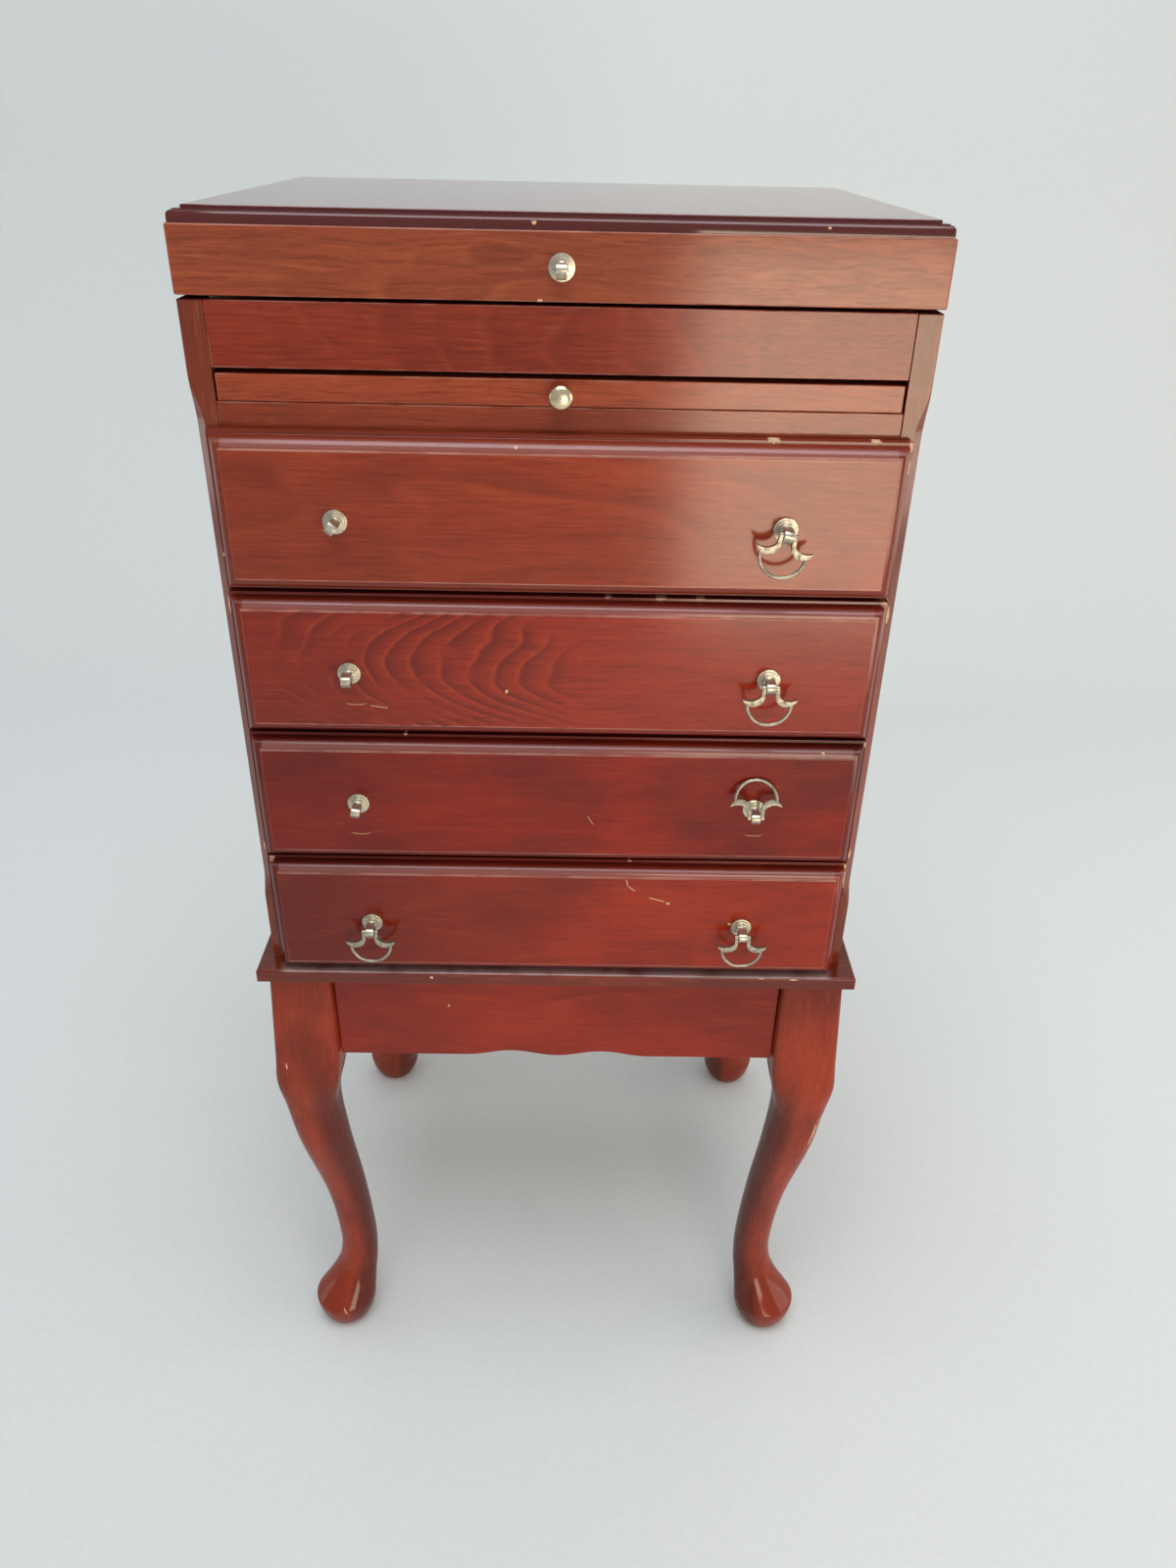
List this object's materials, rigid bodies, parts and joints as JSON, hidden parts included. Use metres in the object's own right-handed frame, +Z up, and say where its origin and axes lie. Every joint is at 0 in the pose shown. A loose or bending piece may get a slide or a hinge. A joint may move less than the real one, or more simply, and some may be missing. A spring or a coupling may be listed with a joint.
{
  "type": "jewelry cabinet",
  "caption": "Free-standing jewelry cabinet on cabriole legs: a small chest of moulded drawers with swinging bail pulls, a pull-out slide and a lift-up lid over a felt-lined well",
  "frame": {"origin": "on the floor, under the middle of the part's bounding box", "axes": "+Z up, the drawers face -Y, +X to the right of a person who faces the drawers"},
  "size_m": [0.44, 0.3824, 0.9225],
  "materials": {
    "mahogany": "semi-gloss lacquer over red-brown stain",
    "pale_wood": "bare, sanded",
    "felt": "short nap",
    "antique_brass": "dull, silvery with age",
    "bright_brass": "polished"
  },
  "bodies": {
    "cabinet": {"side_panel_left": "mahogany", "side_panel_right": "mahogany", "back_panel": "mahogany", "front_panel": "mahogany", "hinge_rail": "mahogany", "well_floor": "pale_wood", "well_lining": "felt", "divider_rail": "mahogany", "slide_bearers": "pale_wood", "drawer_runners": "pale_wood", "bottom_panel": "pale_wood", "lid_bumpers": "felt", "stand_top": "mahogany", "apron_front": "mahogany", "plain_aprons": "mahogany", "corner_blocks": "pale_wood", "leg_front_left": "mahogany", "leg_front_right": "mahogany", "leg_back_left": "mahogany", "leg_back_right": "mahogany", "hinge_lower_leaves": "bright_brass", "hinge_pins": "bright_brass"},
    "lid": {"lid_top": "mahogany", "lid_front": "mahogany", "lid_sides": "mahogany", "lid_back": "mahogany", "lid_lining": "felt", "hinge_upper_leaves": "bright_brass", "lid_pull": "antique_brass"},
    "slide": {"slide_board": "mahogany", "slide_knob": "bright_brass"},
    "drawer_1": {"drawer_1_front": "mahogany", "drawer_1_sides": "pale_wood", "drawer_1_back": "pale_wood", "drawer_1_bottom": "pale_wood", "drawer_1_lining": "felt", "drawer_1_pulls": "antique_brass"},
    "drawer_2": {"drawer_2_front": "mahogany", "drawer_2_sides": "pale_wood", "drawer_2_back": "pale_wood", "drawer_2_bottom": "pale_wood", "drawer_2_lining": "felt", "drawer_2_pulls": "antique_brass"},
    "drawer_3": {"drawer_3_front": "mahogany", "drawer_3_sides": "pale_wood", "drawer_3_back": "pale_wood", "drawer_3_bottom": "pale_wood", "drawer_3_lining": "felt", "drawer_3_pulls": "antique_brass"},
    "drawer_4": {"drawer_4_front": "mahogany", "drawer_4_sides": "pale_wood", "drawer_4_back": "pale_wood", "drawer_4_bottom": "pale_wood", "drawer_4_lining": "felt", "drawer_4_pulls": "antique_brass"},
    "bail_1_right": {"bail_1_right": "antique_brass"},
    "bail_2_right": {"bail_2_right": "antique_brass"},
    "bail_3_right": {"bail_3_right": "antique_brass"},
    "bail_4_left": {"bail_4_left": "antique_brass"},
    "bail_4_right": {"bail_4_right": "antique_brass"}
  },
  "joints": [
    {"name": "lid_hinge", "type": "hinge", "parent": "cabinet", "child": "lid", "pos_m": [0, 0.15625, 0.9172], "axis": [-1, 0, 0], "range_deg": [0, 95]},
    {"name": "slide_pull", "type": "slide", "parent": "cabinet", "child": "slide", "axis": [0, -1, 0], "range_m": [0, 0.21]},
    {"name": "drawer_1_slide", "type": "slide", "parent": "cabinet", "child": "drawer_1", "axis": [0, -1, 0], "range_m": [0, 0.22]},
    {"name": "drawer_2_slide", "type": "slide", "parent": "cabinet", "child": "drawer_2", "axis": [0, -1, 0], "range_m": [0, 0.22]},
    {"name": "drawer_3_slide", "type": "slide", "parent": "cabinet", "child": "drawer_3", "axis": [0, -1, 0], "range_m": [0, 0.22]},
    {"name": "drawer_4_slide", "type": "slide", "parent": "cabinet", "child": "drawer_4", "axis": [0, -1, 0], "range_m": [0, 0.22]},
    {"name": "bail_1_right_swing", "type": "hinge", "parent": "drawer_1", "child": "bail_1_right", "pos_m": [0.1324, -0.18815, 0.7595], "axis": [-0.9848, 0, 0.1736], "range_deg": [-25.1, 205.1]},
    {"name": "bail_2_right_swing", "type": "hinge", "parent": "drawer_2", "child": "bail_2_right", "pos_m": [0.1318, -0.18815, 0.6627], "axis": [-1, 0, 0], "range_deg": [-25.1, 205.1]},
    {"name": "bail_3_right_swing", "type": "hinge", "parent": "drawer_3", "child": "bail_3_right", "pos_m": [0.131, -0.18815, 0.5678], "axis": [-1, 0, 0], "range_deg": [-230.7, 0]},
    {"name": "bail_4_left_swing", "type": "hinge", "parent": "drawer_4", "child": "bail_4_left", "pos_m": [-0.131, -0.18815, 0.4691], "axis": [-1, 0, 0], "range_deg": [-25.1, 205.1]},
    {"name": "bail_4_right_swing", "type": "hinge", "parent": "drawer_4", "child": "bail_4_right", "pos_m": [0.131, -0.18815, 0.4691], "axis": [-1, 0, 0], "range_deg": [-25.1, 205.1]}
  ]
}
